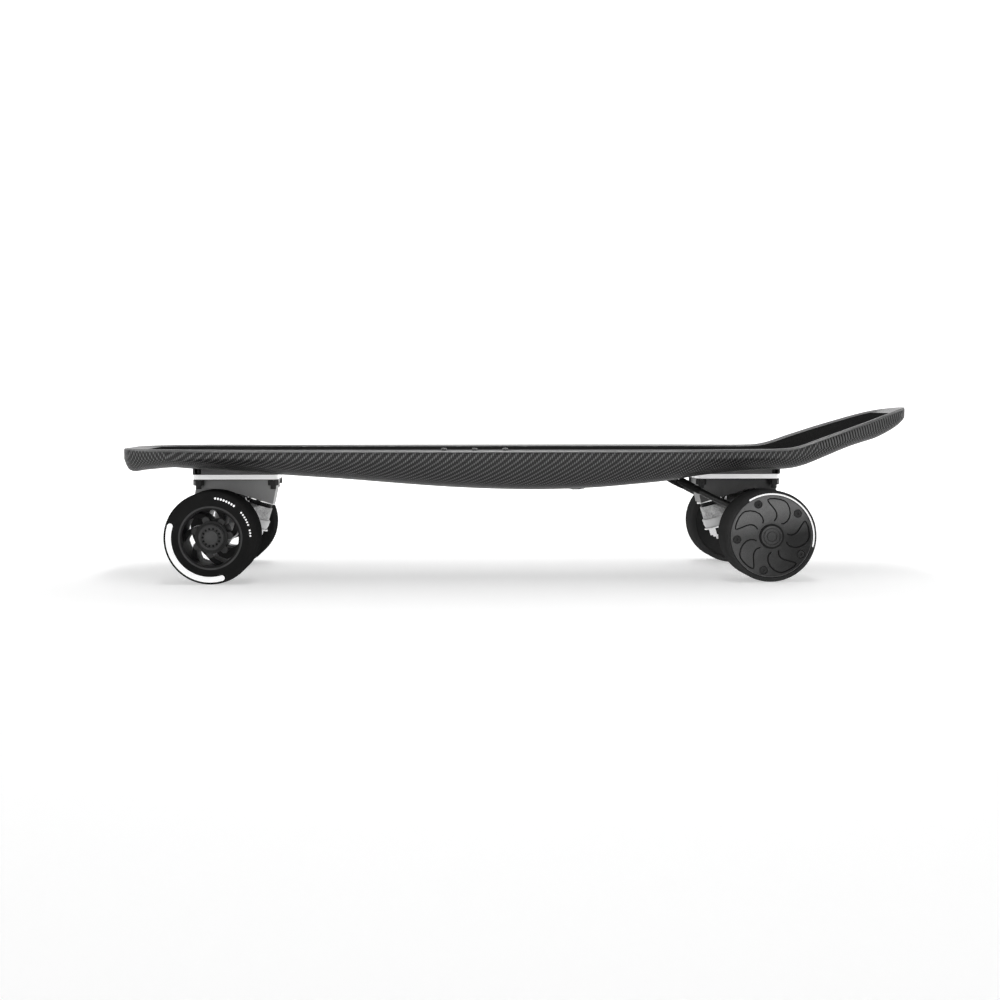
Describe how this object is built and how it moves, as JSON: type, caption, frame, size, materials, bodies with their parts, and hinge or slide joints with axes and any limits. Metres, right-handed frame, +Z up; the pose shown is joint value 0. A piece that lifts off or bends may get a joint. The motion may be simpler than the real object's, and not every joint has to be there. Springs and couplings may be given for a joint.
{
  "type": "electric skateboard",
  "caption": "Short electric skateboard with a hollow carbon deck and kicktail, the battery in its belly, kingpin trucks, free front wheels and hub-motor rear wheels.",
  "frame": {"origin": "on the floor, under the middle of the deck's length and width", "axes": "+X from the nose to the kicktail, +Y to the rider's right when facing the nose, +Z up"},
  "size_m": [0.676, 0.232, 0.1425],
  "materials": {
    "carbon": "clear-coated carbon twill",
    "grip": "fine grit",
    "black_rubber": "matt",
    "black_steel": "black oxide",
    "lens": "clear white",
    "cell_wrap": "shrink wrap",
    "circuit_board": "solder mask",
    "heat_sink": "extruded",
    "black_plastic": "moulded",
    "contact_metal": "plated",
    "satin_metal": "satin",
    "gunmetal": "dark anodised, machined edge",
    "steel": "zinc plated",
    "bright_steel": "bright",
    "cast_aluminium": "blasted casting",
    "dark_urethane": "cast",
    "pale_urethane": "cast",
    "lamination": "stacked sheets",
    "copper": "enamelled wire",
    "cable_jacket": "moulded jacket",
    "wheel_urethane": "cast urethane",
    "nylon": "glass filled",
    "black_metal": "black anodised",
    "magnet": "nickel plated"
  },
  "bodies": {
    "deck": {"deck_shell": "carbon", "deck_lid": "carbon", "lid_gasket": "black_rubber", "lid_screws": "black_steel", "grip_front": "grip", "grip_lid": "grip", "grip_rear": "grip", "gauge_lenses": "lens", "battery_cells": "cell_wrap", "bms_board": "circuit_board", "motor_controller": "heat_sink", "port_panel": "black_plastic", "charge_socket": "contact_metal", "riser_pads": "black_rubber", "front_baseplate": "gunmetal", "rear_baseplate": "gunmetal", "truck_bolts": "black_steel", "truck_nuts": "black_steel", "kingpins": "steel", "kingpin_nuts": "bright_steel", "cup_washers": "bright_steel", "pivot_cups": "black_rubber", "cable_glands": "black_rubber", "motor_cable_left": "cable_jacket", "motor_cable_right": "cable_jacket"},
    "button": {"power_button": "satin_metal"},
    "port_cap": {"charge_cap": "black_rubber"},
    "front_truck": {"front_hanger": "cast_aluminium", "front_axle": "steel", "front_axle_nuts": "steel", "front_upper_bushing": "dark_urethane", "front_lower_bushing": "pale_urethane"},
    "rear_truck": {"rear_hanger": "cast_aluminium", "rear_axle": "steel", "rear_axle_nuts": "steel", "rear_upper_bushing": "dark_urethane", "rear_lower_bushing": "pale_urethane", "motor_collars": "gunmetal", "motor_stators": "lamination", "motor_windings": "copper"},
    "front_left_wheel": {"front_left_tyre": "wheel_urethane", "front_left_core": "nylon", "front_left_bearings": "steel", "front_left_cap": "nylon"},
    "front_right_wheel": {"front_right_tyre": "wheel_urethane", "front_right_core": "nylon", "front_right_bearings": "steel", "front_right_cap": "nylon"},
    "rear_left_wheel": {"rear_left_tyre": "wheel_urethane", "rear_left_can": "black_metal", "rear_left_magnets": "magnet", "rear_left_cover": "black_metal", "rear_left_screws": "black_steel", "rear_left_bearings": "steel"},
    "rear_right_wheel": {"rear_right_tyre": "wheel_urethane", "rear_right_can": "black_metal", "rear_right_magnets": "magnet", "rear_right_cover": "black_metal", "rear_right_screws": "black_steel", "rear_right_bearings": "steel"}
  },
  "joints": [
    {"name": "front_steer", "type": "hinge", "parent": "deck", "child": "front_truck", "pos_m": [-0.22567, 0, 0.05266], "axis": [-0.9563, 0, 0.2924], "range_deg": [-9, 9], "stiffness_Nm_per_rad": 60, "deforming": ["front_upper_bushing", "front_lower_bushing"]},
    {"name": "rear_steer", "type": "hinge", "parent": "deck", "child": "rear_truck", "pos_m": [0.17207, 0, 0.05266], "axis": [0.9563, 0, 0.2924], "range_deg": [-9, 9], "stiffness_Nm_per_rad": 60, "deforming": ["rear_upper_bushing", "rear_lower_bushing", "motor_cable_left", "motor_cable_right"]},
    {"name": "power_press", "type": "slide", "parent": "deck", "child": "button", "axis": [0, 0, 1], "range_m": [0, 0.0012], "stiffness_N_per_m": 150, "springref_m": -0.004},
    {"name": "port_cap_hinge", "type": "hinge", "parent": "deck", "child": "port_cap", "pos_m": [0.049, 0.008, 0.0734], "axis": [-1, 0, 0], "range_deg": [0, 110], "stiffness_Nm_per_rad": 0.002, "springref_deg": -22.92},
    {"name": "front_left_spin", "type": "hinge", "parent": "front_truck", "child": "front_left_wheel", "pos_m": [-0.2546, -0.089, 0.0375], "axis": [0, 1, 0], "continuous": true},
    {"name": "front_right_spin", "type": "hinge", "parent": "front_truck", "child": "front_right_wheel", "pos_m": [-0.2546, 0.089, 0.0375], "axis": [0, 1, 0], "continuous": true},
    {"name": "rear_left_spin", "type": "hinge", "parent": "rear_truck", "child": "rear_left_wheel", "pos_m": [0.201, -0.0935, 0.0375], "axis": [0, 1, 0], "continuous": true},
    {"name": "rear_right_spin", "type": "hinge", "parent": "rear_truck", "child": "rear_right_wheel", "pos_m": [0.201, 0.0935, 0.0375], "axis": [0, 1, 0], "continuous": true}
  ]
}
